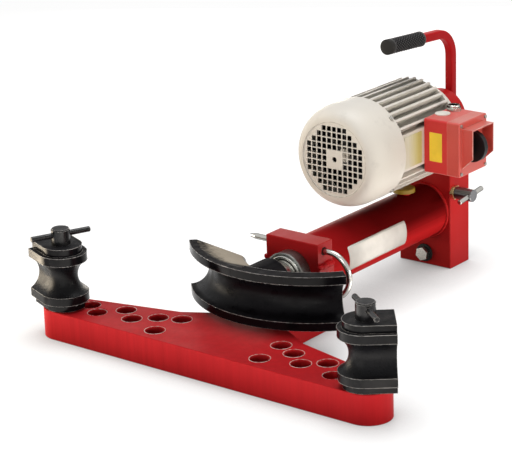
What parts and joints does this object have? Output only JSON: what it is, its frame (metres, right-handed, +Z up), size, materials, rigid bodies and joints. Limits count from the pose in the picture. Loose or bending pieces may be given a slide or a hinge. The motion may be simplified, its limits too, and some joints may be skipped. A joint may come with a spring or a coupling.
{
  "type": "electro-hydraulic pipe bending machine",
  "caption": "Horizontal pipe bender: winged plate with pinned rollers, ram with a grooved former, oil jacket, rear pump block, electric motor and switch box.",
  "frame": {"origin": "on the underside of the winged plate, midway between its two rounded wing ends", "axes": "+X to the right seen from the front, +Y to the rear along the ram, +Z up; the ram pushes towards -Y"},
  "size_m": [0.7391, 0.7652, 0.4411],
  "materials": {
    "red_paint": "gloss",
    "cast_black": "satin",
    "black_steel": "satin",
    "bright_steel": "polished",
    "bare_steel": "brushed",
    "bare_aluminium": "satin",
    "motor_paint": "satin",
    "copper": "lacquered",
    "brass": "satin",
    "rubber": "matte",
    "black_plastic": "matte",
    "yellow_plastic": "gloss",
    "white_plastic": "gloss"
  },
  "bodies": {
    "machine": {"wing_plate": "red_paint", "head_block": "red_paint", "cylinder_barrel": "bare_steel", "gland_nut": "black_steel", "wiper_ring": "rubber", "return_spring": "bare_steel", "spring_anchor": "bare_steel", "reservoir_tube": "red_paint", "jacket_ring": "bare_steel", "filler_neck": "red_paint", "pump_block": "red_paint", "pump_cover": "red_paint", "cover_screws": "black_steel", "shaft_seal": "rubber", "drain_plug": "bare_steel", "drain_washer": "bare_steel", "release_nut": "brass", "handle_bar": "red_paint", "handle_grip": "black_plastic", "motor_housing": "motor_paint", "fan_cover": "motor_paint", "fan_cover_screws": "bare_steel", "drive_end_shield": "motor_paint", "fan_end_shield": "motor_paint", "motor_bolts": "bare_steel", "stator_core": "bare_steel", "windings": "copper", "fan_bearing": "bare_steel", "drive_bearing": "bare_steel", "rating_plate": "bare_aluminium", "switch_base": "red_paint", "switch_lid": "red_paint", "lid_screws": "bare_steel", "switch_body": "black_plastic", "cable_gland": "bright_steel", "blanking_plug": "white_plastic"},
    "ram": {"ram": "bright_steel", "piston": "bare_steel", "piston_seal": "rubber"},
    "former": {"former": "cast_black"},
    "roller_left": {"roller_left": "cast_black"},
    "roller_right": {"roller_right": "cast_black"},
    "pin_left": {"roller_pin_left": "black_steel", "pin_bar_left": "black_steel"},
    "pin_right": {"roller_pin_right": "black_steel", "pin_bar_right": "black_steel"},
    "lock_pin": {"retaining_pin": "bright_steel"},
    "filler_cap": {"filler_cap": "yellow_plastic"},
    "release_valve": {"release_spindle": "bright_steel", "release_bar": "bright_steel"},
    "rotor": {"motor_shaft": "bare_steel", "rotor_core": "bare_aluminium", "cooling_fan": "black_plastic", "drive_gear": "bare_steel"},
    "driven_gear": {"driven_gear": "bare_steel"},
    "switch_knob": {"switch_knob": "black_plastic"}
  },
  "joints": [
    {"name": "ram_slide", "type": "slide", "parent": "machine", "child": "ram", "axis": [0, -1, 0], "range_m": [0, 0.25], "deforming": ["return_spring"]},
    {"name": "former_pull_off", "type": "slide", "parent": "ram", "child": "former", "axis": [0, -1, 0], "range_m": [0, 0.045]},
    {"name": "roller_left_turn", "type": "hinge", "parent": "machine", "child": "roller_left", "pos_m": [-0.311, -0.0032, 0.105], "axis": [0, 0, 1], "continuous": true},
    {"name": "roller_right_turn", "type": "hinge", "parent": "machine", "child": "roller_right", "pos_m": [0.311, -0.0032, 0.105], "axis": [0, 0, 1], "continuous": true},
    {"name": "pin_left_lift", "type": "slide", "parent": "machine", "child": "pin_left", "axis": [0, 0, 1], "range_m": [0, 0.2]},
    {"name": "pin_right_lift", "type": "slide", "parent": "machine", "child": "pin_right", "axis": [0, 0, 1], "range_m": [0, 0.2]},
    {"name": "lock_pin_pull", "type": "slide", "parent": "machine", "child": "lock_pin", "axis": [1, 0, 0], "range_m": [0, 0.16]},
    {"name": "filler_cap_turn", "type": "hinge", "parent": "machine", "child": "filler_cap", "pos_m": [0, 0.552, 0.158], "axis": [0, 0, 1], "range_deg": [0, 180]},
    {"name": "release_turn", "type": "hinge", "parent": "machine", "child": "release_valve", "pos_m": [0.08, 0.6282, 0.143], "axis": [1, 0, 0], "range_deg": [0, 180]},
    {"name": "motor_spin", "type": "hinge", "parent": "machine", "child": "rotor", "pos_m": [0, 0.5, 0.2664], "axis": [0, 1, 0], "continuous": true},
    {"name": "driven_gear_spin", "type": "hinge", "parent": "machine", "child": "driven_gear", "pos_m": [0, 0.67, 0.2314], "axis": [0, 1, 0], "continuous": true},
    {"name": "switch_turn", "type": "hinge", "parent": "machine", "child": "switch_knob", "pos_m": [0.16, 0.54, 0.2664], "axis": [1, 0, 0], "range_deg": [0, 90]}
  ],
  "couplings": [
    {"joint": "driven_gear_spin", "follows": "motor_spin", "ratio": -1}
  ]
}
